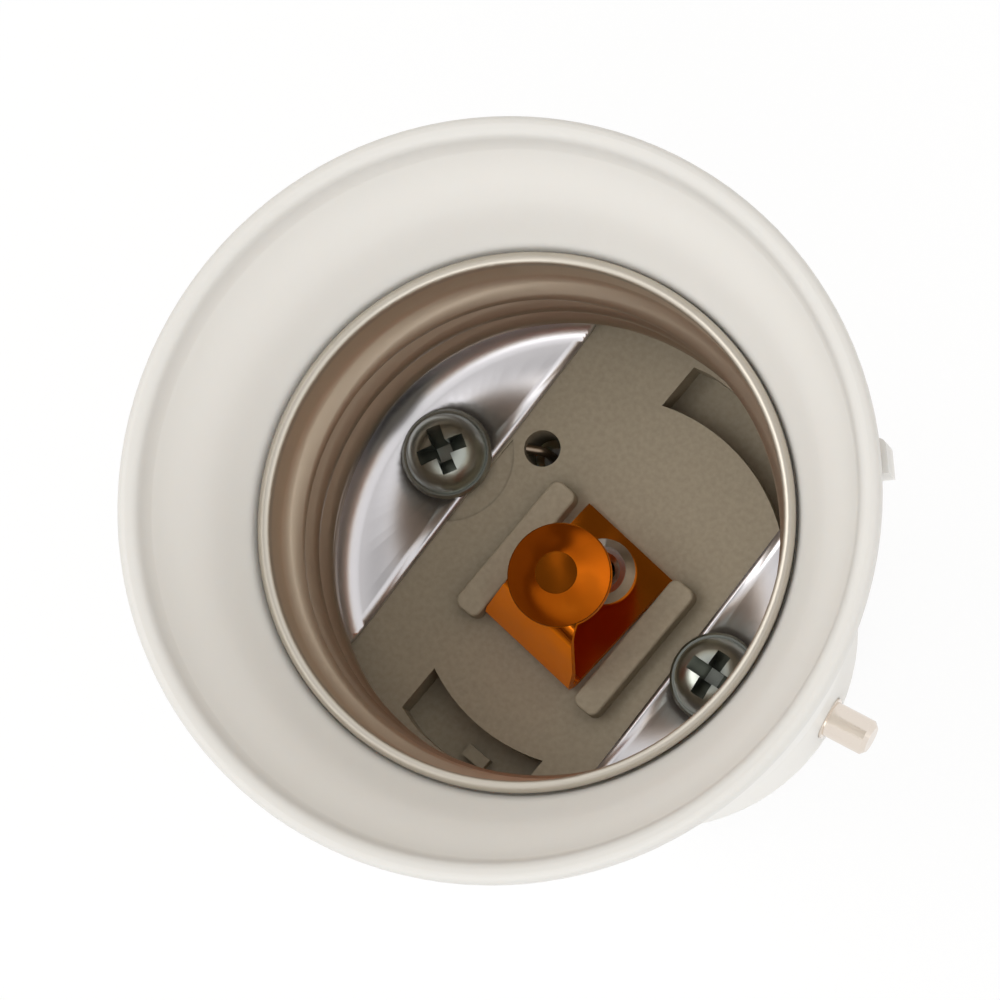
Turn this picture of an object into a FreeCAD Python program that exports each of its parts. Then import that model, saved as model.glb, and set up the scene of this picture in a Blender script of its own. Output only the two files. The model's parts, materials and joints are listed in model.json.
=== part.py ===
"""Lamp socket adapter: a bayonet cap at one end and a screw socket at the other.

Units are millimetres.  The origin is the centre of the contact end, +Z points out of the screw socket, and X runs
through the two bayonet pins.  The insert (insulator, thread shell, screws, centre contact) sits a few degrees turned
about the axis from the pins, as it was screwed in by hand.
"""
import FreeCAD, Part
import math
import os

V = FreeCAD.Vector
UP = V(0, 0, 1)
ORIGIN = V(0, 0, 0)

# Levels along the axis
contact_proud = 0.8
pin_height = 6.8
cap_top = 18.5
ledge_height = 27.4
insulator_thickness = 3.5
shell_height = 16.9
lip_above_rim = 8.2

# Housing
cap_radius = 11.0
cap_end_radius = 9.2
cap_taper_height = 4.6
cap_wall = 1.6
cap_floor = 2.5
body_wall = 1.0
skirt_wall = 3.0
lip_radius = 19.45
lip_land = 1.45
lip_land_drop = 1.8
lip_crest_inset = 0.45
lip_round = 0.55
lip_taper = 0.7
lip_taper_height = 3.0
funnel_gap = 0.08
funnel_foot_drop = 0.7
shoulder_drop = 0.7
ledge_width = 1.5
boss_radius = 2.8
boss_depth = 6.2
collar_radius = 2.7
collar_height = 2.2
nib_azimuth = 34.0
nib_width = 1.8
nib_height = 2.4
nib_depth = 1.2
nib_proud = 0.2
nib_fillet = 0.4
nib_below_lip = 1.6

# Insert, turned about the axis
insert_turn = -12.0
shell_turn = 2.4
foot_turn = -3.0
insulator_radius = 13.2
insulator_clearance = 0.15
hub_radius = 5.6
hub_depth = 2.5
rib_length = 8.5
rib_width = 1.55
rib_height = 1.2
rib_corner = 0.5
rib_fillet = 0.15
rib_centre_v = -1.5
rib_left_u = -3.12
rib_right_u = 5.2
lead_hole_u = -5.75
lead_hole_v = 3.46
lead_hole_radius = 0.98
tunnel_radius = 0.31
tunnel_depth = 1.2
pocket_depth = 2.0
pocket_width = 2.5
pocket_radius = 9.9
pocket_shift = 1.3
pocket_limit = 12.2
upper_pocket_from = -2.26
upper_pocket_to = 7.1
lower_pocket_from = -2.6
lower_pocket_to = 5.1
nub_u = 1.9
nub_v = -11.3
nub_size = 0.7
relief_radius = 3.55
relief_depth = 0.15

# Thread shell, rolled from sheet
sheet = 0.26
thread_major = 13.3
thread_minor = 12.25
thread_pitch = 3.629
thread_bottom_gap = 1.6
neck_height = 2.4
bead_radius = 0.32
bead_curl = 250.0
shell_foot_step = 0.25
shell_foot_bend = 1.15
flange_chord = 7.3
sections_per_turn = 8

# Screws
screw_edge = 0.03
screw_radius = 1.5
screw_length = 8.6
head_radius = 2.42
head_rim_height = 0.35
dome_radius = 2.15
head_height = 1.9
head_crown = 0.4
recess_span = 3.1
recess_arm = 0.78
recess_depth = 1.5
recess_turn_a = 50.0
recess_turn_b = 84.0
hole_clearance = 0.2
fit_clearance = 0.03

# Centre contact, a folded copper strip
strip = 0.4
foot_length = 7.9
foot_width = 6.1
foot_centre_u = 1.04
foot_centre_v = -1.28
fold_radius = 0.6
leaf_slope = 67.0
leaf_top_width = 4.9
disc_radius = 2.75
disc_along = 4.15
disc_side = 0.4
head_bend = 0.9
leaf_narrowing = 0.72
disc_height = 5.3
crown_radius = 2.7
button_radius = 1.12
button_height = 0.9
fold_play = 0.02
rivet_radius = 1.1
rivet_head_radius = 1.75
rivet_head_height = 0.7
rivet_bore = 0.7
rivet_u = 1.19
rivet_v = 0.52
tag_thickness = 0.35
tag_width = 2.2
tag_reach = 3.5

# Leads
wire_radius = 0.25
sleeve_radius = 0.65
sleeve_bore = 0.29
solder_radius = 0.95
solder_height = 0.8
sleeve_gap = 0.4
lead_high_share = 0.745
lead_middle_share = 0.31
lead_low_share = 0.135
lead_drift = 0.35
lead_bow = 1.6
lead_bend = 0.6
lead_sweep_share = 0.42

# Bayonet pins and rear contacts
pin_radius = 1.02
pin_tip = 13.6
pin_shank_radius = 1.2
pin_shank_proud = 0.07
pin_head_radius = 1.7
pin_head_height = 0.6
pin_chamfer = 0.25
contact_spacing = 8.0
contact_length = 7.0
contact_width = 4.4
contact_chamfer = 0.25
stud_radius = 1.5
clinch_radius = 2.1
clinch_height = 0.7
stud_bore_depth = 3.0

# Values that follow from the ones above
insulator_top = ledge_height + insulator_thickness
rim_top = insulator_top + shell_height
total_height = rim_top + lip_above_rim
rim_bore = thread_major + 2 * bead_radius + funnel_gap
body_bore = thread_major + sheet + 3 * funnel_gap
pocket_bore = insulator_radius + insulator_clearance
ledge_bore = pocket_bore - ledge_width
cavity_radius = cap_radius - cap_wall
floor_top = contact_proud + cap_floor
collar_top = floor_top + collar_height
land_inner_radius = lip_radius - lip_land
shell_foot_radius = thread_major - shell_foot_step
screw_x = shell_foot_radius - shell_foot_bend - head_radius - screw_edge
wire_level = insulator_top - wire_radius - fit_clearance
tunnel_level = insulator_top - tunnel_depth
stud_top = collar_top + clinch_height
hub_bottom = ledge_height - hub_depth
lead_sweep = lead_sweep_share * (hub_bottom - stud_top)
foot_top = insulator_top + strip
fold_edge = -foot_length / 2


def turned(shape, degrees):
    """Turn a shape about the axis of the adapter."""
    shape.rotate(ORIGIN, UP, degrees)
    return shape


def disc(radius, low, high, x=0.0, y=0.0):
    """Upright cylinder between two levels."""
    return Part.makeCylinder(radius, high - low, V(x, y, low))


def revolve(points):
    """Solid of revolution of a closed outline of (radius, height) points."""
    outline = [V(r, 0, z) for r, z in points]
    face = Part.Face(Part.makePolygon(outline + outline[:1]))
    return face.revolve(ORIGIN, UP, 360)


def revolve_edges(edges):
    """Solid of revolution of a closed outline of edges in the XZ plane."""
    return Part.Face(Part.Wire(edges)).revolve(ORIGIN, UP, 360)


def lines(points):
    """Straight edges through (radius, height) points."""
    ends = [V(r, 0, z) for r, z in points]
    return [Part.makeLine(a, b) for a, b in zip(ends, ends[1:])]


def curve(points, start, end):
    """Smooth edge through (radius, height) points with given end directions."""
    spline = Part.BSplineCurve()
    spline.interpolate(
        Points=[V(r, 0, z) for r, z in points],
        InitialTangent=V(start[0], 0, start[1]),
        FinalTangent=V(end[0], 0, end[1]),
    )
    return spline.toShape()


def insert_point(u, v, z):
    """Point given in the insert's own turned frame."""
    angle = math.radians(insert_turn)
    x = u * math.cos(angle) - v * math.sin(angle)
    y = u * math.sin(angle) + v * math.cos(angle)
    return V(x, y, z)


def rounded_path(points, radii):
    """Wire of straight runs joined by tangent arcs, one radius for each inner point."""
    edges = []
    start = points[0]
    for before, corner, after, radius in zip(points, points[1:], points[2:], radii):
        arriving = (corner - before).normalize()
        leaving = (after - corner).normalize()
        turn = arriving.getAngle(leaving)
        cut = radius * math.tan(turn / 2)
        first = corner - arriving * cut
        last = corner + leaving * cut
        inward = (leaving - arriving).normalize()
        middle = corner + inward * (radius / math.cos(turn / 2) - radius)
        edges.append(Part.LineSegment(start, first).toShape())
        edges.append(Part.Arc(first, middle, last).toShape())
        start = last
    edges.append(Part.LineSegment(start, points[-1]).toShape())
    return Part.Wire(edges)


def tube(points, radii, outer, inner=0.0):
    """Round wire, or a sleeve when inner is given, along a rounded path."""
    path = rounded_path(points, radii)
    heading = points[1] - points[0]

    def swept(radius):
        ring = Part.Wire(Part.Circle(points[0], heading, radius).toShape())
        return path.makePipeShell([ring], True, False)

    solid = swept(outer)
    return solid.cut(swept(inner)) if inner else solid


# Housing: one moulding from lip to bayonet cap
def housing_outline():
    """Outer and inner walls as one closed outline."""
    land_low = total_height - lip_land_drop
    crest_radius = lip_radius - lip_crest_inset
    edge_height = total_height - lip_round
    bore_top = rim_top - funnel_foot_drop
    shoulder = rim_top - 2 * bead_radius - shoulder_drop
    flare_height = ledge_height - cap_top
    outer = [
        (cap_radius, cap_top),
        (cap_radius + 0.5 * (pocket_bore + body_wall - cap_radius), cap_top + 0.45 * flare_height),
        (pocket_bore + body_wall - 0.05, ledge_height),
        (body_bore + body_wall, insulator_top + 0.13 * shell_height),
        (rim_bore + skirt_wall - 0.25, rim_top - 0.1 * shell_height),
        (lip_radius - lip_taper, total_height - lip_taper_height),
        (lip_radius, edge_height),
    ]
    edges = lines([(0, contact_proud), (cap_end_radius, contact_proud)])
    edges += [curve([(cap_end_radius, contact_proud),
                     (cap_radius - 0.45, contact_proud + 0.5 * cap_taper_height),
                     (cap_radius, contact_proud + cap_taper_height)], (1.0, 0.6), (0.02, 1.0))]
    edges += lines([(cap_radius, contact_proud + cap_taper_height), (cap_radius, cap_top)])
    edges += [curve(outer, (0, 1), (0, 1))]
    edges += [curve([(lip_radius, edge_height), (lip_radius - 0.16 * lip_crest_inset, total_height - 0.38 * lip_round),
                     (crest_radius, total_height)], (0, 1), (-1, 0))]
    edges += [curve([(crest_radius, total_height), (land_inner_radius, land_low)], (-1, 0), (-0.45, -1))]
    edges += [curve([(land_inner_radius, land_low),
                     ((land_inner_radius + rim_bore) / 2 - 0.2, (land_low + bore_top) / 2),
                     (rim_bore, bore_top)], (-0.42, -1), (-0.6, -1))]
    edges += lines([
        (rim_bore, bore_top),
        (rim_bore, shoulder + rim_bore - body_bore),
        (body_bore, shoulder),
        (body_bore, insulator_top + fit_clearance),
        (pocket_bore, insulator_top + fit_clearance),
        (pocket_bore, ledge_height),
        (ledge_bore, ledge_height),
        (ledge_bore, ledge_height - 0.8 * ledge_width),
        (cavity_radius, cap_top - 0.6 * cap_wall),
        (cavity_radius, floor_top),
        (0, floor_top),
        (0, contact_proud),
    ])
    return edges, outer


def housing():
    edges, outer = housing_outline()
    body = revolve_edges(edges)
    top = outer[-1][1]
    envelope = revolve_edges(
        [curve(outer, (0, 1), (0, 1))]
        + lines([(lip_radius, top), (0, top), (0, cap_top), (cap_radius, cap_top)])
    )
    for side in (-1, 1):
        spot = insert_point(side * screw_x, 0, 0)
        boss = disc(boss_radius, ledge_height - boss_depth, ledge_height, spot.x, spot.y).common(envelope)
        body = body.fuse(boss)
    for side in (-1, 1):
        body = body.fuse(disc(collar_radius, floor_top, collar_top, 0, side * contact_spacing / 2))
    for side in (-1, 1):
        spot = insert_point(side * screw_x, 0, 0)
        pilot = screw_radius + fit_clearance
        body = body.cut(disc(pilot, ledge_height - boss_depth - 1, ledge_height + 1, spot.x, spot.y))
        body = body.cut(disc(stud_radius + fit_clearance, 0, collar_top + 1, 0, side * contact_spacing / 2))
        bore = Part.makeCylinder(pin_shank_radius + fit_clearance, 3 * cap_wall,
                                 V(side * (cavity_radius - cap_wall), 0, pin_height), V(side, 0, 0))
        body = body.cut(bore)
    nib_top = total_height - nib_below_lip
    nib_face = lip_radius + nib_proud
    nib = Part.makeBox(nib_depth, nib_width, nib_height, V(nib_face - nib_depth, -nib_width / 2, nib_top - nib_height))
    rounded = [e for e in nib.Edges
               if e.BoundBox.XMin > nib_face - 0.01 and e.BoundBox.ZLength > nib_height / 2 and e.BoundBox.YMin > 0]
    nib = nib.makeFillet(nib_fillet, rounded)
    return body.fuse(turned(nib, nib_azimuth)).removeSplitter()


# Insulator that carries the shell and the centre contact
def arc_pocket(side, low_u, high_u):
    """Curved pocket sunk from the top face, with straight ends."""
    bottom = insulator_top - pocket_depth
    ring = disc(pocket_radius + pocket_width, bottom, insulator_top + 1, pocket_shift).cut(
        disc(pocket_radius, bottom - 1, insulator_top + 2, pocket_shift))
    reach = 2 * insulator_radius
    ends = Part.makeBox(high_u - low_u, reach, 2 * pocket_depth, V(low_u, min(side * reach, 0), bottom))
    return ring.common(ends).common(disc(pocket_limit, bottom, insulator_top + 1))


def rib(centre_u):
    """Guide rib with rounded corners beside the centre contact."""
    body = Part.makeBox(rib_width, rib_length, rib_height,
                        V(centre_u - rib_width / 2, rib_centre_v - rib_length / 2, insulator_top))
    body = body.makeFillet(rib_corner, [e for e in body.Edges if e.BoundBox.ZLength > rib_height / 2])
    crown = [e for e in body.Edges if e.BoundBox.ZMin > insulator_top + rib_height - 0.01]
    return body.makeFillet(rib_fillet, crown)


def insulator_base():
    body = disc(insulator_radius, ledge_height, insulator_top)
    body = body.fuse(disc(hub_radius, hub_bottom, ledge_height))
    body = body.cut(arc_pocket(1, upper_pocket_from, upper_pocket_to))
    body = body.cut(arc_pocket(-1, lower_pocket_from, lower_pocket_to))
    # Shallow relief beside the first screw, as far as the flange's edge
    between = Part.makeBox(2 * flange_chord, 2 * insulator_radius, 2 * relief_depth,
                           V(-flange_chord, -insulator_radius, insulator_top - relief_depth))
    relief = disc(relief_radius, insulator_top - relief_depth, insulator_top + 1, -screw_x, 0)
    body = body.cut(relief.common(between))
    for side in (-1, 1):
        body = body.cut(disc(screw_radius + hole_clearance, 0, insulator_top + 1, side * screw_x, 0))
    body = body.cut(disc(lead_hole_radius, 0, insulator_top + 1, lead_hole_u, lead_hole_v))
    body = body.cut(disc(rivet_radius + fit_clearance, 0, insulator_top + 1, rivet_u, rivet_v))
    # Slanted way for the bare wire, from under the flange to the hole
    start = lead_start()
    along = V(lead_hole_u, lead_hole_v, tunnel_level) - start
    body = body.cut(Part.makeCylinder(tunnel_radius, along.Length, start, along))
    body = body.fuse(rib(rib_left_u)).fuse(rib(rib_right_u))
    floor = insulator_top - pocket_depth
    body = body.fuse(Part.makeBox(2 * nub_size, nub_size, nub_size,
                                  V(nub_u - nub_size, nub_v - nub_size / 2, floor)))
    return turned(body.removeSplitter(), insert_turn)


def lead_start():
    """End of the bare wire under the first flange, in the insert's frame."""
    return V(-screw_x + 0.8 * screw_radius, 1.25 * screw_radius, wire_level)


# Thread shell: rolled thread, curled rim and two flanges at the foot
def thread_wall(offset, low, high):
    """Solid whose side is the rolled thread: a circle carried round a small helix without turning."""
    mean = (thread_major + thread_minor) / 2 + offset
    depth = (thread_major - thread_minor) / 2
    start = low + thread_bottom_gap
    finish = high - thread_pitch / 2
    count = int(round((high - low) / thread_pitch * sections_per_turn))
    rings = []
    for step in range(count + 1):
        z = low + (high - low) * step / count
        fade_in = min(max((z - low) / (start - low), 0), 1)
        fade_out = min(max((high - z) / (high - finish), 0), 1)
        weight = math.sin(math.pi / 2 * min(fade_in, fade_out)) ** 2
        phase = 2 * math.pi * (z - low) / thread_pitch
        centre = V(depth * weight * math.cos(phase), depth * weight * math.sin(phase), z)
        foot_part = 1 - math.sin(math.pi / 2 * fade_in) ** 2
        neck_part = 1 - math.sin(math.pi / 2 * fade_out) ** 2
        radius = mean
        radius += foot_part * (shell_foot_radius + offset - mean)
        radius += neck_part * (thread_major + offset - mean)
        rings.append(Part.Wire(Part.Circle(centre, UP, radius).toShape()))
    return Part.makeLoft(rings, True, True)


def screw_shell():
    foot = insulator_top
    thread_low = foot + sheet + shell_foot_bend
    thread_high = rim_top - 2 * bead_radius - neck_height + bead_radius
    wall = thread_wall(sheet, thread_low, thread_high).cut(thread_wall(0, thread_low, thread_high))
    # Neck and curled rim
    neck_top = rim_top - bead_radius
    bead_centre = thread_major + bead_radius
    start = math.radians(180)
    finish = math.radians(180 - bead_curl)
    middle = (start + finish) / 2

    def on_bead(radius, angle):
        return V(bead_centre + radius * math.cos(angle), 0, neck_top + radius * math.sin(angle))

    inner_curl = bead_radius - sheet
    curl = [
        Part.Arc(on_bead(bead_radius, start), on_bead(bead_radius, middle), on_bead(bead_radius, finish)).toShape(),
        Part.makeLine(on_bead(bead_radius, finish), on_bead(inner_curl, finish)),
        Part.Arc(on_bead(inner_curl, finish), on_bead(inner_curl, middle), on_bead(inner_curl, start)).toShape(),
    ]
    neck = lines([
        (thread_major + sheet, neck_top),
        (thread_major + sheet, thread_high),
        (thread_major, thread_high),
        (thread_major, neck_top),
    ])
    rim = revolve_edges(curl + neck)
    # Foot bend and flanges
    full_bend = 90.0
    middle_bend = full_bend / 2
    inner_bend = shell_foot_bend
    outer_bend = shell_foot_bend + sheet
    centre_r = shell_foot_radius - inner_bend
    centre_z = thread_low

    def on_bend(radius, degrees):
        angle = math.radians(degrees)
        return V(centre_r + radius * math.cos(angle), 0, centre_z + radius * math.sin(angle))

    bend = [
        Part.makeLine(on_bend(inner_bend, 0), on_bend(outer_bend, 0)),
        Part.Arc(on_bend(outer_bend, 0), on_bend(outer_bend, -middle_bend), on_bend(outer_bend, -full_bend)).toShape(),
        Part.makeLine(on_bend(outer_bend, -full_bend), V(0, 0, foot)),
        Part.makeLine(V(0, 0, foot), V(0, 0, foot + sheet)),
        Part.makeLine(V(0, 0, foot + sheet), on_bend(inner_bend, -full_bend)),
        Part.Arc(on_bend(inner_bend, -full_bend), on_bend(inner_bend, -middle_bend), on_bend(inner_bend, 0)).toShape(),
    ]
    cup = revolve_edges(bend)
    window = Part.makeBox(2 * flange_chord, 4 * centre_r, 2 * shell_foot_bend + 2 * sheet,
                          V(-flange_chord, -2 * centre_r, foot - sheet))
    cup = cup.cut(window)
    # Between the flanges the wall runs straight down to the insulator
    plain = revolve([(shell_foot_radius, foot), (shell_foot_radius + sheet, foot),
                     (shell_foot_radius + sheet, thread_low), (shell_foot_radius, thread_low)])
    cup = cup.fuse(plain.common(window))
    for side in (-1, 1):
        angle = math.radians(-shell_turn)
        x = side * screw_x * math.cos(angle)
        y = side * screw_x * math.sin(angle)
        cup = cup.cut(disc(screw_radius + hole_clearance, foot - 1, foot + 1, x, y))
    return turned(wall.fuse(rim).fuse(cup).removeSplitter(), insert_turn + shell_turn)


# Screws that clamp shell and insulator to the housing
def shell_screw(side, recess_turn):
    seat = insulator_top + sheet
    shoulder = seat + head_rim_height
    top = seat + head_height
    edges = lines([(0, seat), (head_radius, seat), (head_radius, shoulder - 0.4 * head_rim_height),
                   (head_radius - 0.4 * head_rim_height, shoulder), (dome_radius, shoulder)])
    edges += [curve([(dome_radius, shoulder), (0.74 * dome_radius, top - head_crown), (0, top)],
                    (-0.1, 1), (-1, 0))]
    edges += lines([(0, top), (0, seat)])
    head = revolve_edges(edges)
    span = recess_span / 2
    tip = recess_arm / 2
    arm_outline = [V(-span, 0, top + 0.1), V(span, 0, top + 0.1), V(tip, 0, top - recess_depth),
                   V(-tip, 0, top - recess_depth)]
    arm_face = Part.Face(Part.makePolygon(arm_outline + arm_outline[:1]))
    arm = arm_face.extrude(V(0, recess_arm, 0))
    arm.translate(V(0, -recess_arm / 2, 0))
    cross = arm.fuse(turned(arm.copy(), 90))
    head = head.cut(turned(cross, recess_turn))
    shank = disc(screw_radius, seat - screw_length, seat)
    point = Part.makeCone(0.4 * screw_radius, screw_radius, screw_radius, V(0, 0, seat - screw_length - screw_radius))
    screw = head.fuse(shank).fuse(point).removeSplitter()
    spot = insert_point(side * screw_x, 0, 0)
    screw.translate(spot)
    return screw


# Centre contact: foot and sprung leaf of one folded strip, parted at the fold where it flexes
def place_on_foot(shape):
    """Carry a shape from the strip's own frame (X along, Y across) to the insert."""
    shape.rotate(ORIGIN, UP, 90)
    shape.translate(V(0, fold_edge, 0))
    turned(shape, foot_turn)
    shape.translate(V(foot_centre_u, foot_centre_v, 0))
    return turned(shape, insert_turn)


def fold_start():
    """Distance along the strip at which the flat foot ends and the fold begins."""
    return fold_radius + strip / 2


def rivet_on_foot():
    """Rivet place in the strip's own frame."""
    spot = V(rivet_u - foot_centre_u, rivet_v - foot_centre_v, 0)
    angle = math.radians(-foot_turn)
    x = spot.x * math.cos(angle) - spot.y * math.sin(angle)
    y = spot.x * math.sin(angle) + spot.y * math.cos(angle)
    return V(y - fold_edge, -x, 0)


def contact_foot():
    low = insulator_top
    flat_from = fold_start() + fold_play
    plate = Part.makeBox(foot_length - flat_from, foot_width, strip, V(flat_from, -foot_width / 2, low))
    spot = rivet_on_foot()
    plate = plate.cut(disc(rivet_radius + fit_clearance, low - 1, low + 1, spot.x, spot.y))
    return place_on_foot(plate)


def contact_leaf():
    """Fold, rising leaf and pressed disc."""
    bend_x = fold_start()
    foot_mid = insulator_top + strip / 2
    disc_mid = foot_top + disc_height - strip / 2
    slope = math.radians(leaf_slope)
    half = strip / 2

    def on_fold(radius, degrees):
        angle = math.radians(degrees)
        return V(bend_x + radius * math.cos(angle), 0, foot_mid + fold_radius + radius * math.sin(angle))

    level = 90.0
    underside = 270.0
    fold_end = level + leaf_slope
    fold_middle = (underside + fold_end) / 2
    foot_of_leaf = on_fold(fold_radius, fold_end)
    rise = disc_mid - head_bend * (1 - math.cos(slope)) - foot_of_leaf.z
    run = rise / math.tan(slope)
    head_of_leaf = V(foot_of_leaf.x + run, 0, foot_of_leaf.z + rise)
    bend_centre = head_of_leaf + V(head_bend * math.sin(slope), 0, -head_bend * math.cos(slope))

    def on_head(radius, degrees):
        angle = math.radians(degrees)
        return V(bend_centre.x + radius * math.cos(angle), 0, bend_centre.z + radius * math.sin(angle))

    flat_end = disc_along
    edges = [
        Part.Arc(on_fold(fold_radius + half, underside), on_fold(fold_radius + half, fold_middle),
                 on_fold(fold_radius + half, fold_end)).toShape(),
        Part.makeLine(on_fold(fold_radius + half, fold_end), on_head(head_bend + half, fold_end)),
        Part.Arc(on_head(head_bend + half, fold_end), on_head(head_bend + half, (fold_end + level) / 2),
                 on_head(head_bend + half, level)).toShape(),
        Part.makeLine(on_head(head_bend + half, level), V(flat_end, 0, disc_mid + half)),
        Part.makeLine(V(flat_end, 0, disc_mid + half), V(flat_end, 0, disc_mid - half)),
        Part.makeLine(V(flat_end, 0, disc_mid - half), on_head(head_bend - half, level)),
        Part.Arc(on_head(head_bend - half, level), on_head(head_bend - half, (fold_end + level) / 2),
                 on_head(head_bend - half, fold_end)).toShape(),
        Part.makeLine(on_head(head_bend - half, fold_end), on_fold(fold_radius - half, fold_end)),
        Part.Arc(on_fold(fold_radius - half, fold_end), on_fold(fold_radius - half, fold_middle),
                 on_fold(fold_radius - half, underside)).toShape(),
        Part.makeLine(on_fold(fold_radius - half, underside), on_fold(fold_radius + half, underside)),
    ]
    ribbon = Part.Face(Part.Wire(edges)).extrude(V(0, foot_width, 0))
    ribbon.translate(V(0, -foot_width / 2, 0))
    # The strip narrows from the fold to the disc
    wide = foot_width / 2
    narrow = leaf_top_width / 2
    neck_at = disc_along - math.sqrt(disc_radius ** 2 - narrow ** 2)
    left = wide - leaf_narrowing
    plan = [V(-strip, -wide, 0), V(bend_x, -wide, 0), V(neck_at, disc_side - narrow, 0),
            V(flat_end, disc_side - narrow, 0), V(flat_end, left, 0), V(head_of_leaf.x, left, 0),
            V(foot_of_leaf.x, wide, 0), V(-strip, wide, 0)]
    cutter = Part.Face(Part.makePolygon(plan + plan[:1])).extrude(V(0, 0, total_height))
    ribbon = ribbon.common(cutter)
    top = disc_mid + half
    crown = [(0, top + button_height), (button_radius, top + button_height), (crown_radius, top),
             (disc_radius, top), (disc_radius, top - strip), (crown_radius - 0.15, top - strip),
             (button_radius - 0.15, top + button_height - strip), (0, top + button_height - strip)]
    cap = revolve(crown)
    cap.translate(V(disc_along, disc_side, 0))
    core = disc(crown_radius - 0.15, top - strip - 1, top + 0.5, disc_along, disc_side)
    beyond = Part.makeBox(2 * disc_along, 4 * disc_radius, total_height,
                          V(on_head(head_bend, level).x, -2 * disc_radius, 0))
    leaf = ribbon.cut(core.common(beyond)).fuse(cap).removeSplitter()
    return place_on_foot(leaf)


def contact_rivet():
    head_low = foot_top
    shank_low = hub_bottom - tag_thickness
    closing = 0.6
    body = revolve([
        (rivet_bore, head_low + rivet_head_height - 0.25),
        (rivet_bore + 0.3, head_low + rivet_head_height),
        (rivet_head_radius - 0.45, head_low + rivet_head_height),
        (rivet_head_radius, head_low + 0.3),
        (rivet_head_radius, head_low),
        (rivet_radius, head_low),
        (rivet_radius, shank_low),
        (rivet_head_radius - 0.1, shank_low),
        (rivet_head_radius - 0.3, shank_low - closing),
        (rivet_bore, shank_low - closing),
    ])
    body.translate(insert_point(rivet_u, rivet_v, 0))
    return body


def tag_end():
    """Where the centre lead is soldered to its tag."""
    spot = insert_point(rivet_u, rivet_v, 0)
    return V(spot.x, spot.y - tag_reach, hub_bottom - tag_thickness)


def centre_tag():
    spot = insert_point(rivet_u, rivet_v, 0)
    low = hub_bottom - tag_thickness
    end = tag_end()
    plate = disc(rivet_head_radius + 0.15, low, hub_bottom, spot.x, spot.y)
    plate = plate.fuse(Part.makeBox(tag_width, tag_reach, tag_thickness, V(spot.x - tag_width / 2, end.y, low)))
    plate = plate.fuse(disc(tag_width / 2, low, hub_bottom, end.x, end.y)).removeSplitter()
    plate = plate.cut(disc(rivet_radius + fit_clearance, low - 1, hub_bottom + 1, spot.x, spot.y))
    return plate.cut(disc(wire_radius + fit_clearance, low - 1, hub_bottom + 1, end.x, end.y))


def solder_cone(x, y, seat, direction):
    """Fillet of solder round a wire, on a face at seat, pointing up (1) or down (-1)."""
    tip = wire_radius + 0.2
    cone = Part.makeCone(solder_radius, tip, solder_height, V(x, y, seat), V(0, 0, direction))
    return cone.cut(disc(wire_radius + fit_clearance, seat - 2, seat + 2, x, y))


# Leads from the insert to the rear contacts
def lead_level(top, share):
    """Level part of the way from the rear contact's stud up to where a lead starts."""
    return stud_top + share * (top - stud_top)


def shell_lead_route():
    start = lead_start()
    hole = insert_point(lead_hole_u, lead_hole_v, 0)
    y = contact_spacing / 2
    points = [
        insert_point(start.x, start.y, start.z),
        insert_point(lead_hole_u, lead_hole_v, tunnel_level),
        V(hole.x, hole.y, lead_level(ledge_height, lead_high_share)),
        V(-lead_bow, y + lead_drift, lead_level(ledge_height, lead_middle_share)),
        V(0, y, lead_level(ledge_height, lead_low_share)),
        V(0, y, stud_top - 0.9 * stud_bore_depth),
    ]
    return points, [lead_bend, lead_sweep, lead_sweep, 0.8 * lead_sweep]


def shell_lead_wire():
    points, radii = shell_lead_route()
    return tube(points, radii, wire_radius)


def shell_lead_sleeve():
    points, radii = shell_lead_route()
    head = V(points[2].x, points[2].y, ledge_height - 2 * sleeve_gap)
    tail = V(0, points[4].y, stud_top + solder_height + sleeve_gap)
    return tube([head] + points[2:5] + [tail], radii[1:], sleeve_radius, sleeve_bore)


def centre_lead_route():
    end = tag_end()
    y = -contact_spacing / 2
    tag_low = hub_bottom - tag_thickness
    points = [
        V(end.x, end.y, hub_bottom - 0.3 * tag_thickness),
        V(end.x, end.y, lead_level(tag_low, lead_high_share)),
        V(lead_bow / 2, y - lead_drift, lead_level(tag_low, lead_middle_share)),
        V(0, y, lead_level(tag_low, lead_low_share)),
        V(0, y, stud_top - 0.9 * stud_bore_depth),
    ]
    return points, [lead_sweep, lead_sweep, 0.8 * lead_sweep]


def centre_lead_wire():
    points, radii = centre_lead_route()
    return tube(points, radii, wire_radius)


def centre_lead_sleeve():
    points, radii = centre_lead_route()
    head = V(points[0].x, points[0].y, hub_bottom - tag_thickness - solder_height - sleeve_gap)
    tail = V(0, points[-1].y, stud_top + solder_height + sleeve_gap)
    return tube([head] + points[1:4] + [tail], radii, sleeve_radius, sleeve_bore)


# Bayonet end
def bayonet_pin(side):
    root = cavity_radius - pin_head_height
    shoulder = cap_radius + pin_shank_proud
    free_end = Part.makeCylinder(pin_radius, pin_tip - root, V(root, 0, pin_height), V(1, 0, 0))
    tip_edge = [e for e in free_end.Edges if e.BoundBox.XMin > pin_tip - 0.01]
    free_end = free_end.makeChamfer(pin_chamfer, tip_edge)
    shank = free_end.fuse(Part.makeCylinder(pin_shank_radius, shoulder - root, V(root, 0, pin_height), V(1, 0, 0)))
    head = Part.makeCylinder(pin_head_radius, pin_head_height, V(root, 0, pin_height), V(1, 0, 0))
    inside = disc(cavity_radius - fit_clearance, 0, 2 * pin_height)
    pin = shank.fuse(head.common(inside)).removeSplitter()
    return pin if side > 0 else turned(pin, 180)


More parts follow.
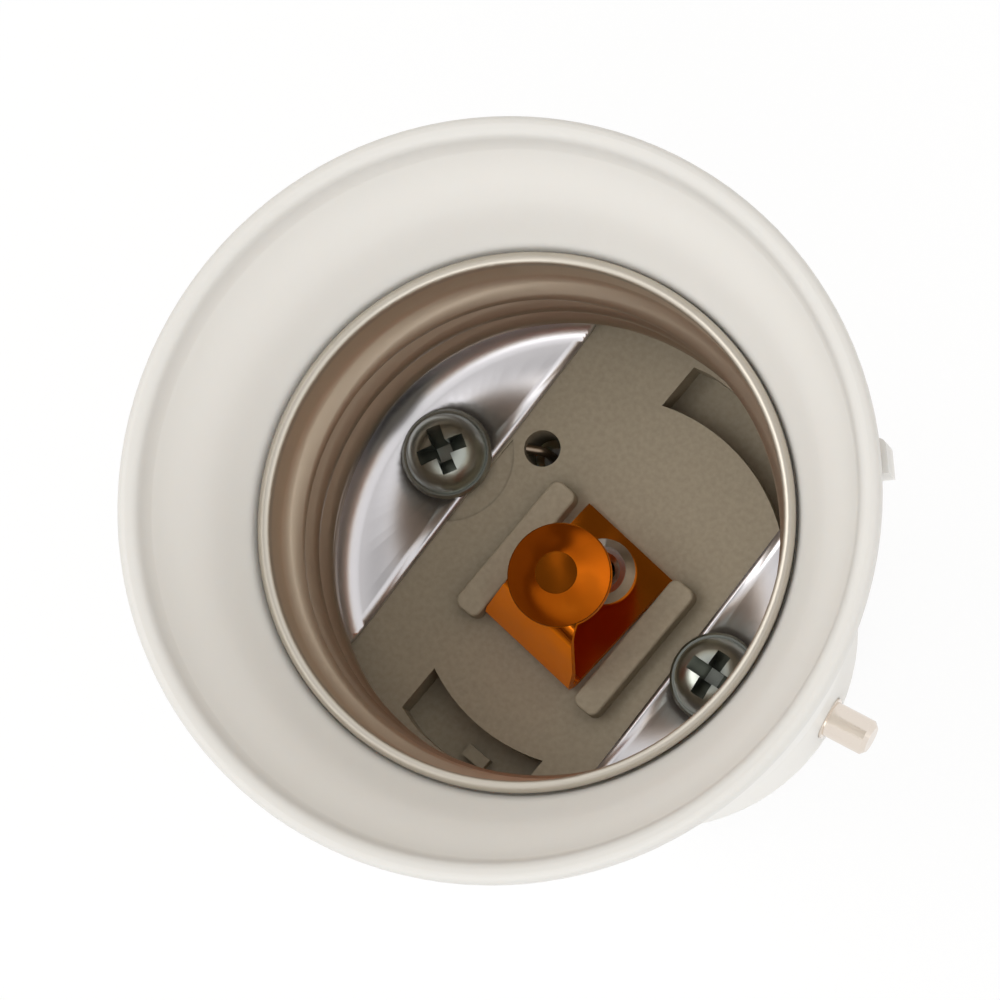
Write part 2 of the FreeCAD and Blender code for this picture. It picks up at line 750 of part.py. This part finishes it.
def rear_contact(side):
    y = side * contact_spacing / 2
    straight = contact_length - contact_width
    head = Part.makeBox(straight, contact_width, contact_proud, V(-straight / 2, y - contact_width / 2, 0))
    for end in (-1, 1):
        head = head.fuse(disc(contact_width / 2, 0, contact_proud, end * straight / 2, y))
    head = head.removeSplitter()
    head = head.makeChamfer(contact_chamfer, [e for e in head.Edges if e.BoundBox.ZMax < 0.01])
    stud = disc(stud_radius, contact_proud, stud_top, 0, y)
    clinch = disc(clinch_radius, collar_top, stud_top, 0, y)
    bore = disc(wire_radius + fit_clearance, stud_top - stud_bore_depth, stud_top + 1, 0, y)
    return head.fuse(stud).fuse(clinch).removeSplitter().cut(bore)


def main():
    os.makedirs("parts", exist_ok=True)
    end = tag_end()
    pieces = {
        "housing": housing(),
        "insulator_base": insulator_base(),
        "screw_shell": screw_shell(),
        "shell_screw_a": shell_screw(-1, recess_turn_a),
        "shell_screw_b": shell_screw(1, recess_turn_b),
        "contact_foot": contact_foot(),
        "contact_leaf": contact_leaf(),
        "contact_rivet": contact_rivet(),
        "centre_tag": centre_tag(),
        "tag_solder": solder_cone(end.x, end.y, end.z, -1),
        "shell_lead_wire": shell_lead_wire(),
        "shell_lead_sleeve": shell_lead_sleeve(),
        "centre_lead_wire": centre_lead_wire(),
        "centre_lead_sleeve": centre_lead_sleeve(),
        "bayonet_pin_a": bayonet_pin(1),
        "bayonet_pin_b": bayonet_pin(-1),
        "rear_contact_a": rear_contact(1),
        "rear_contact_b": rear_contact(-1),
        "rear_solder_a": solder_cone(0, contact_spacing / 2, stud_top, 1),
        "rear_solder_b": solder_cone(0, -contact_spacing / 2, stud_top, 1),
    }
    for name, shape in pieces.items():
        shape.exportStep("parts/" + name + ".step")
        print(name, "solids", len(shape.Solids), "valid", shape.isValid(), "volume", round(shape.Volume, 2))


main()
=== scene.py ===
import bpy
import json
import math
from mathutils import Matrix, Vector


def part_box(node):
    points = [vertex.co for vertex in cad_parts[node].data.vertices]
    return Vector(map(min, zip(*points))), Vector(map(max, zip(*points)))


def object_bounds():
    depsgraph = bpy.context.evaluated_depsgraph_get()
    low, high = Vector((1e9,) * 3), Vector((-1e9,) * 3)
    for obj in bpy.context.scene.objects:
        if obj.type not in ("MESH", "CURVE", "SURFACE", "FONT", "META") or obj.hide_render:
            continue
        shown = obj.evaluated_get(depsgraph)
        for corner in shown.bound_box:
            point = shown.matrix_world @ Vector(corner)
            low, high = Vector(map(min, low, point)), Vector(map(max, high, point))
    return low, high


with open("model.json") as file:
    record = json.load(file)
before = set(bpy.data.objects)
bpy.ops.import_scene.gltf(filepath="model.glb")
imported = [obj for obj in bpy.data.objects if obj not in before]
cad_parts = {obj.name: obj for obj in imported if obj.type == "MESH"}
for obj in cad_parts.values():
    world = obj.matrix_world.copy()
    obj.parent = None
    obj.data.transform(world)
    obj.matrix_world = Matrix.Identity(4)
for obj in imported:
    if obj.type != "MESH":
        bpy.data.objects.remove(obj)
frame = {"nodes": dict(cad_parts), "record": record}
cad_low, cad_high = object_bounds()
shell_low, shell_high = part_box("screw_shell")

MM = 0.001
LIP_RADIUS = cad_high[0]
LIP_TOP = cad_high[2]
SHELL_FOOT = shell_low[2]
SHELL_RIM = shell_high[2]

# Where the photo was taken from: a long lens a little off the socket's axis
VIEW_TILT = math.radians(13.5)
VIEW_AZIMUTH = math.radians(-11.0)
VIEW_ROLL = math.radians(38.9)
VIEW_DISTANCE = 450 * MM
VIEW_TARGET = Vector((0, 0, LIP_TOP - 1.1 * MM))
VIEW_LENS = 323.2
VIEW_SENSOR = 36
VIEW_SHIFT = 0.001
VIEW_CLIP = (0.05, 5)

# The photo's own directions in the frame
TOWARD = Vector((math.cos(VIEW_AZIMUTH) * math.sin(VIEW_TILT),
                 math.sin(VIEW_AZIMUTH) * math.sin(VIEW_TILT),
                 math.cos(VIEW_TILT)))
DOWNHILL = Vector((math.cos(VIEW_AZIMUTH) * math.cos(VIEW_TILT),
                   math.sin(VIEW_AZIMUTH) * math.cos(VIEW_TILT),
                   -math.sin(VIEW_TILT)))
ACROSS = Vector((-math.sin(VIEW_AZIMUTH), math.cos(VIEW_AZIMUTH), 0))
RIGHT = DOWNHILL * math.cos(VIEW_ROLL) + ACROSS * math.sin(VIEW_ROLL)
UP = ACROSS * math.cos(VIEW_ROLL) - DOWNHILL * math.sin(VIEW_ROLL)

# Lamps round the target: steps right, up and toward the camera, size, watts and colour
LAMP_DISTANCE = 0.5
LAMPS = {
    "key": ((-0.15, -1.0, 1.0), (0.35, 0.3), 0.46, (0.98, 0.99, 1.0)),
    "side": ((-0.74, 0.2, 0.64), (0.3, 0.3), 0.72, (1.0, 0.985, 0.96)),
    "far side": ((0.85, -0.1, 0.6), (0.3, 0.3), 0.22, (1.0, 0.99, 0.97)),
}

# Light from all round: a gradient up the photo, weaker near the object's horizon
SKY_LOW = (0.94, 0.93, 0.91)
SKY_HIGH = (0.74, 0.70, 0.645)
SKY_TURN = (-0.2, 0.9)
HORIZON_LIFT = (0.1, 0.6)
HORIZON_SHADE = 0.65

# What mirrors show: white, with one dim patch where flat faces throw the camera's sight
PATCH_PLACE = Vector((-TOWARD.x, -TOWARD.y, TOWARD.z))
PATCH_SPREAD = (math.cos(math.radians(25)), math.cos(math.radians(8)))
PATCH_SHADE = 0.12

# Floor
FLOOR_SIZE = 4.0
FLOOR_GAP = 0.02 * MM
FLOOR_COLOUR = (0.93, 0.93, 0.93)
FLOOR_WHITE = 0.9

# Housing: white plastic, a little less white along the lip's thin edge, where shade is painted into
# its colour
HOUSING_WHITE = (0.80, 0.788, 0.762)
HOUSING_ROUGHNESS = 0.42
HOUSING_GLOSS = 0.35
HOUSING_DEPTH = 2 * MM
HOUSING_DEPTH_SHARE = 0.25
HOUSING_DEPTH_TINT = (1.0, 0.9, 0.8)
LIP_BAND = (LIP_RADIUS - 1.45 * MM, LIP_RADIUS - 1.05 * MM)
LIP_FLOOR = (LIP_TOP - 4.5 * MM, LIP_TOP - 2.5 * MM)
# Share of the white that the painted shade on the lip's edge keeps
LIP_PAINTED_SHADE = 0.85

# Insulator: speckled brown-grey plastic
INSULATOR_DARK = (0.375, 0.322, 0.232)
INSULATOR_LIGHT = (0.435, 0.377, 0.278)
INSULATOR_ROUGHNESS = 0.62
SPECKLE_SCALE = 3500.0
SPECKLE_DETAIL = 4.0
SPECKLE_SPREAD = (0.3, 0.7)

# Shell: colour and roughness by height, as flanges, thread, neck and rim; the colours are painted
# reflections on one metal
FLANGE_PAINTED_REFLECTION = (0.71, 0.69, 0.705)
THREAD_PAINTED_REFLECTION = (0.44, 0.36, 0.285)
NECK_PAINTED_REFLECTION = (0.70, 0.61, 0.50)
RIM_PAINTED_REFLECTION = (0.58, 0.535, 0.465)
FLANGE_ROUGHNESS = 0.3
THREAD_ROUGHNESS = 0.48
RIM_ROUGHNESS = 0.44
SHELL_ZONES = (
    (SHELL_FOOT + 1.7 * MM, FLANGE_PAINTED_REFLECTION, FLANGE_ROUGHNESS),
    (SHELL_FOOT + 2.7 * MM, THREAD_PAINTED_REFLECTION, THREAD_ROUGHNESS),
    (SHELL_RIM - 5.3 * MM, THREAD_PAINTED_REFLECTION, THREAD_ROUGHNESS),
    (SHELL_RIM - 3.3 * MM, NECK_PAINTED_REFLECTION, THREAD_ROUGHNESS),
    (SHELL_RIM - 0.9 * MM, NECK_PAINTED_REFLECTION, RIM_ROUGHNESS),
    (SHELL_RIM - 0.5 * MM, RIM_PAINTED_REFLECTION, RIM_ROUGHNESS),
)

# The first flange's lean: the way to its side, where the lean sets in, and how far it goes
FLANGE_SIDE = Vector((0.978, -0.208, 0))
FLANGE_START = (-1 * MM, -2 * MM)
FLANGE_LEVEL = (SHELL_FOOT + 0.8 * MM, SHELL_FOOT + 0.3 * MM)
FLANGE_LEAN = Vector((0.17, -0.04, 0))

# Contact: copper, with slow waves of hand-pressed sheet
COPPER_BRIGHT = (0.52, 0.125, 0.006)
# Lighter colour of the steep faces: painted light
COPPER_STEEP_PAINTED_LIGHT = (1.0, 0.25, 0.004)
COPPER_ROUGHNESS = 0.17
COPPER_GLOSS = 0.1
COPPER_FLATNESS = (0.5, 0.8)
DENT_SCALE = 260.0
DENT_DETAIL = 1.0
DENT_DEPTH = 0.3 * MM

# Pieces with one finish all over: colour, roughness and share of metal
PLAIN_FINISHES = {
    "screws": ((0.40, 0.42, 0.38), 0.3, 1.0),
    "rivet": ((0.62, 0.59, 0.52), 0.2, 1.0),
    "tag": ((0.5, 0.45, 0.36), 0.3, 1.0),
    "solder": ((0.6, 0.6, 0.6), 0.35, 1.0),
    "wire": ((0.36, 0.29, 0.22), 0.35, 1.0),
    "sleeve": ((0.7, 0.68, 0.62), 0.5, 0.0),
    "pins": ((0.78, 0.70, 0.62), 0.18, 1.0),
    "rear_contacts": ((0.74, 0.55, 0.26), 0.25, 1.0),
}

# Painted shade in recesses: how far their walls reach, and how much they darken
INSULATOR_RECESS_SHADE = (2.5 * MM, 0.3)
SCREW_RECESS_SHADE = (0.9 * MM, 1.0)
RECESS_SHADE_SAMPLES = 8

# Shading of curved faces
SMOOTHING = math.radians(32)
THREAD_SMOOTHING = math.radians(55)
WELD_REACH = 0.001 * MM


# Shader nodes: each helper takes sockets or values and gives the socket of its result
def put(tree, socket, value):
    """Link a socket to another one, or set its value."""
    if isinstance(value, bpy.types.NodeSocket):
        tree.links.new(value, socket)
    else:
        socket.default_value = value


def compute(tree, kind, operation, *values):
    """Result of a math or vector math operation."""
    node = tree.nodes.new(kind)
    node.operation = operation
    shown = [socket for socket in node.inputs if socket.enabled]
    for socket, value in zip(shown, values):
        put(tree, socket, value)
    return next(socket for socket in node.outputs if socket.enabled)


def number(tree, operation, *values):
    """Result of an operation on numbers."""
    return compute(tree, "ShaderNodeMath", operation, *values)


def vector(tree, operation, *values):
    """Result of an operation on vectors."""
    return compute(tree, "ShaderNodeVectorMath", operation, *values)


def height(tree, place):
    """The upward part of a vector."""
    split = tree.nodes.new("ShaderNodeSeparateXYZ")
    put(tree, split.inputs["Vector"], place)
    return split.outputs["Z"]


def share(tree, value, span, reach=(0.0, 1.0), smooth=False):
    """How far a value has come along a span, as a number in reach."""
    node = tree.nodes.new("ShaderNodeMapRange")
    if smooth:
        node.interpolation_type = "SMOOTHSTEP"
    node.inputs["From Min"].default_value = span[0]
    node.inputs["From Max"].default_value = span[1]
    node.inputs["To Min"].default_value = reach[0]
    node.inputs["To Max"].default_value = reach[1]
    put(tree, node.inputs["Value"], value)
    return node.outputs["Result"]


def tint(tree, amount, first, second, method="MIX"):
    """Colour that two colours give together."""
    node = tree.nodes.new("ShaderNodeMix")
    node.data_type = "RGBA"
    node.blend_type = method
    put(tree, node.inputs["Factor"], amount)
    put(tree, node.inputs["A"], first)
    put(tree, node.inputs["B"], second)
    return node.outputs["Result"]


def noise(tree, scale, detail):
    """Noise that keeps to the object."""
    node = tree.nodes.new("ShaderNodeTexNoise")
    node.inputs["Scale"].default_value = scale
    node.inputs["Detail"].default_value = detail
    put(tree, node.inputs["Vector"], tree.nodes.new("ShaderNodeTexCoord").outputs["Object"])
    return node.outputs["Fac"]


def mix(tree, amount, first, second):
    """Blend of two shaders."""
    node = tree.nodes.new("ShaderNodeMixShader")
    put(tree, node.inputs["Fac"], amount)
    put(tree, node.inputs[1], first)
    put(tree, node.inputs[2], second)
    return node.outputs["Shader"]


def looked_at(tree, path):
    """1 for rays that show the surroundings: seen, mirrored or through glass."""
    mirrored = number(tree, "MAXIMUM", path.outputs["Is Camera Ray"], path.outputs["Is Glossy Ray"])
    return number(tree, "MAXIMUM", mirrored, path.outputs["Is Transmission Ray"])


# Camera
def add_camera():
    data = bpy.data.cameras.new("camera")
    data.lens = VIEW_LENS
    data.sensor_width = VIEW_SENSOR
    data.shift_x = VIEW_SHIFT
    data.clip_start, data.clip_end = VIEW_CLIP
    camera = bpy.data.objects.new("camera", data)
    turn = Matrix((RIGHT, UP, TOWARD)).transposed().to_4x4()
    camera.matrix_world = Matrix.Translation(VIEW_TARGET + TOWARD * VIEW_DISTANCE) @ turn
    bpy.context.scene.collection.objects.link(camera)
    bpy.context.scene.camera = camera


# Light
def add_soft_box(name, steps, size, power, colour):
    """Rectangular lamp that faces the target."""
    right, up, toward = steps
    direction = (RIGHT * right + UP * up + TOWARD * toward).normalized()
    data = bpy.data.lights.new(name, "AREA")
    data.shape = "RECTANGLE"
    data.size, data.size_y = size
    data.energy = power
    data.color = colour
    lamp = bpy.data.objects.new(name, data)
    lamp.location = VIEW_TARGET + direction * LAMP_DISTANCE
    lamp.rotation_mode = "QUATERNION"
    lamp.rotation_quaternion = direction.to_track_quat("Z", "Y")
    bpy.context.scene.collection.objects.link(lamp)


def add_world():
    """Surroundings that look white and light the object softly."""
    world = bpy.data.worlds.new("studio")
    bpy.context.scene.world = world
    world.use_nodes = True
    tree = world.node_tree
    tree.nodes.clear()
    place = tree.nodes.new("ShaderNodeTexCoord").outputs["Generated"]
    path = tree.nodes.new("ShaderNodeLightPath")

    lit = tree.nodes.new("ShaderNodeBackground")
    rise = share(tree, vector(tree, "DOT_PRODUCT", place, UP), SKY_TURN, smooth=True)
    lift = vector(tree, "DOT_PRODUCT", place, TOWARD)
    put(tree, lit.inputs["Color"], tint(tree, rise, (*SKY_LOW, 1), (*SKY_HIGH, 1)))
    put(tree, lit.inputs["Strength"], share(tree, lift, HORIZON_LIFT, (HORIZON_SHADE, 1.0)))

    seen = tree.nodes.new("ShaderNodeBackground")
    seen.inputs["Color"].default_value = (1, 1, 1, 1)
    near = vector(tree, "DOT_PRODUCT", place, PATCH_PLACE)
    dim = share(tree, near, PATCH_SPREAD, (1.0, PATCH_SHADE), smooth=True)
    put(tree, seen.inputs["Strength"], number(tree, "MAXIMUM", path.outputs["Is Camera Ray"], dim))

    output = tree.nodes.new("ShaderNodeOutputWorld")
    both = mix(tree, looked_at(tree, path), lit.outputs["Background"], seen.outputs["Background"])
    put(tree, output.inputs["Surface"], both)


# Floor
def add_floor():
    """Pale floor that looks white and keeps a faint shadow."""
    bpy.ops.mesh.primitive_plane_add(size=FLOOR_SIZE, location=(0, 0, cad_low[2] - FLOOR_GAP))
    floor = bpy.context.object
    floor.name = "floor"
    made = material("floor", FLOOR_COLOUR, 1.0, Specular_IOR_Level=0.0)
    tree = made.node_tree
    path = tree.nodes.new("ShaderNodeLightPath")
    white = tree.nodes.new("ShaderNodeEmission")
    amount = number(tree, "MULTIPLY", looked_at(tree, path), FLOOR_WHITE)
    both = mix(tree, amount, shader_of(made).outputs["BSDF"], white.outputs["Emission"])
    put(tree, tree.nodes["Material Output"].inputs["Surface"], both)
    floor.data.materials.append(made)


# Materials
def shader_of(made):
    return made.node_tree.nodes["Principled BSDF"]


def material(name, colour, roughness, metallic=0.0, **more):
    """Material with one finish all over."""
    made = bpy.data.materials.new(name)
    made.use_nodes = True
    shader = shader_of(made)
    shader.inputs["Base Color"].default_value = (*colour, 1)
    shader.inputs["Roughness"].default_value = roughness
    shader.inputs["Metallic"].default_value = metallic
    for socket, value in more.items():
        shader.inputs[socket.replace("_", " ")].default_value = value
    return made


def paint_recess_shade(made, recess):
    """Paint shade into the colour of what lies deep in a recess."""
    reach, amount = recess
    tree = made.node_tree
    socket = shader_of(made).inputs["Base Color"]
    colour = socket.links[0].from_socket if socket.is_linked else socket.default_value[:]
    occlusion = tree.nodes.new("ShaderNodeAmbientOcclusion")
    occlusion.inputs["Distance"].default_value = reach
    occlusion.samples = RECESS_SHADE_SAMPLES
    put(tree, socket, tint(tree, amount, colour, occlusion.outputs["AO"], "MULTIPLY"))


def housing_material():
    """White plastic that lets a little light in; the lip's thin edge has painted shade in its
    colour, so it looks less white.
    """
    made = material("housing", HOUSING_WHITE, HOUSING_ROUGHNESS,
                    Subsurface_Weight=HOUSING_DEPTH_SHARE, Subsurface_Scale=HOUSING_DEPTH,
                    Subsurface_Radius=HOUSING_DEPTH_TINT, Specular_IOR_Level=HOUSING_GLOSS)
    tree = made.node_tree
    place = tree.nodes.new("ShaderNodeTexCoord").outputs["Object"]
    radius = vector(tree, "LENGTH", vector(tree, "MULTIPLY", place, (1, 1, 0)))
    outer = share(tree, radius, LIP_BAND, smooth=True)
    upper = share(tree, height(tree, place), LIP_FLOOR, smooth=True)
    shaded_edge = [value * LIP_PAINTED_SHADE for value in HOUSING_WHITE]
    colour = tint(tree, number(tree, "MULTIPLY", outer, upper), (*HOUSING_WHITE, 1), (*shaded_edge, 1))
    put(tree, shader_of(made).inputs["Base Color"], colour)
    return made


def insulator_material():
    """Two colours mixed by fine noise, with painted shade in the recesses."""
    made = material("insulator", INSULATOR_LIGHT, INSULATOR_ROUGHNESS)
    tree = made.node_tree
    speckle = share(tree, noise(tree, SPECKLE_SCALE, SPECKLE_DETAIL), SPECKLE_SPREAD)
    colour = tint(tree, speckle, (*INSULATOR_DARK, 1), (*INSULATOR_LIGHT, 1))
    put(tree, shader_of(made).inputs["Base Color"], colour)
    paint_recess_shade(made, INSULATOR_RECESS_SHADE)
    return made


def zone_ramp(tree, climb, colours):
    """Ramp through the shell's zones, from its foot to its rim."""
    node = tree.nodes.new("ShaderNodeValToRGB")
    elements = node.color_ramp.elements
    while len(elements) < len(SHELL_ZONES):
        elements.new(1.0)
    for element, zone, colour in zip(elements, SHELL_ZONES, colours):
        element.position = (zone[0] - SHELL_FOOT) / (SHELL_RIM - SHELL_FOOT)
        element.color = (*colour, 1)
    put(tree, node.inputs["Fac"], climb)
    return node.outputs["Color"]


def shell_material():
    """Rolled metal with painted reflections in its colour and its roughness in zones by height, its
    first flange's face bowed by the screw.
    """
    made = material("shell", THREAD_PAINTED_REFLECTION, THREAD_ROUGHNESS, 1.0)
    tree = made.node_tree
    shader = shader_of(made)
    place = tree.nodes.new("ShaderNodeTexCoord").outputs["Object"]
    level = height(tree, place)
    climb = share(tree, level, (SHELL_FOOT, SHELL_RIM))
    colours = [colour for _, colour, _ in SHELL_ZONES]
    greys = [(roughness, roughness, roughness) for _, _, roughness in SHELL_ZONES]
    # Painted reflections, a colour for each zone by height
    put(tree, shader.inputs["Base Color"], zone_ramp(tree, climb, colours))
    put(tree, shader.inputs["Roughness"], zone_ramp(tree, climb, greys))

    aside = share(tree, vector(tree, "DOT_PRODUCT", place, FLANGE_SIDE), FLANGE_START)
    low = share(tree, level, FLANGE_LEVEL)
    push = vector(tree, "SCALE", FLANGE_LEAN, number(tree, "MULTIPLY", aside, low))
    facing = tree.nodes.new("ShaderNodeNewGeometry").outputs["Normal"]
    put(tree, shader.inputs["Normal"], vector(tree, "NORMALIZE", vector(tree, "ADD", facing, push)))
    return made


def contact_material():
    """Steep faces scatter light and get a lighter colour of painted light, flat ones mirror it."""
    made = material("contact", COPPER_BRIGHT, COPPER_ROUGHNESS, 1.0, Specular_IOR_Level=COPPER_GLOSS)
    tree = made.node_tree
    shader = shader_of(made)
    facing = tree.nodes.new("ShaderNodeNewGeometry").outputs["Normal"]
    flat = share(tree, height(tree, facing), COPPER_FLATNESS)
    put(tree, shader.inputs["Base Color"], tint(tree, flat, (*COPPER_STEEP_PAINTED_LIGHT, 1), (*COPPER_BRIGHT, 1)))
    put(tree, shader.inputs["Metallic"], flat)
    dents = tree.nodes.new("ShaderNodeBump")
    dents.inputs["Distance"].default_value = DENT_DEPTH
    put(tree, dents.inputs["Height"], noise(tree, DENT_SCALE, DENT_DETAIL))
    put(tree, shader.inputs["Normal"], dents.outputs["Normal"])
    return made


def make_materials():
    """A material for each slot of the record."""
    made = {slot: material(slot, *finish) for slot, finish in PLAIN_FINISHES.items()}
    # Painted shade deep in the screws' recesses
    paint_recess_shade(made["screws"], SCREW_RECESS_SHADE)
    made["housing"] = housing_material()
    made["insulator"] = insulator_material()
    made["shell"] = shell_material()
    made["contact"] = contact_material()
    return made


def paint(made):
    """Give each node the material of its slot."""
    for part in frame["record"]["subparts"]:
        data = frame["nodes"][part["node"]].data
        data.materials.clear()
        data.materials.append(made[part["material_slot"]])


# Shading
def smooth_thread(node):
    """Join the points of neighbouring faces, so that the thread's bands shade as one."""
    weld = node.modifiers.new("weld", "WELD")
    weld.merge_threshold = WELD_REACH
    bpy.context.view_layer.objects.active = node
    with bpy.context.temp_override(active_object=node, object=node, selected_objects=[node],
                                   selected_editable_objects=[node]):
        bpy.ops.object.shade_auto_smooth(angle=THREAD_SMOOTHING)


def smooth():
    """Shade curved faces smoothly and keep the real edges crisp."""
    for name, node in frame["nodes"].items():
        node.data.polygons.foreach_set("use_smooth", [True] * len(node.data.polygons))
        if name == "screw_shell":
            smooth_thread(node)
        else:
            node.data.set_sharp_from_angle(angle=SMOOTHING)


add_camera()
add_floor()
add_world()
for lamp_name, lamp_values in LAMPS.items():
    add_soft_box(lamp_name, *lamp_values)
paint(make_materials())
smooth()

scene = bpy.context.scene
scene.view_settings.view_transform = "Standard"
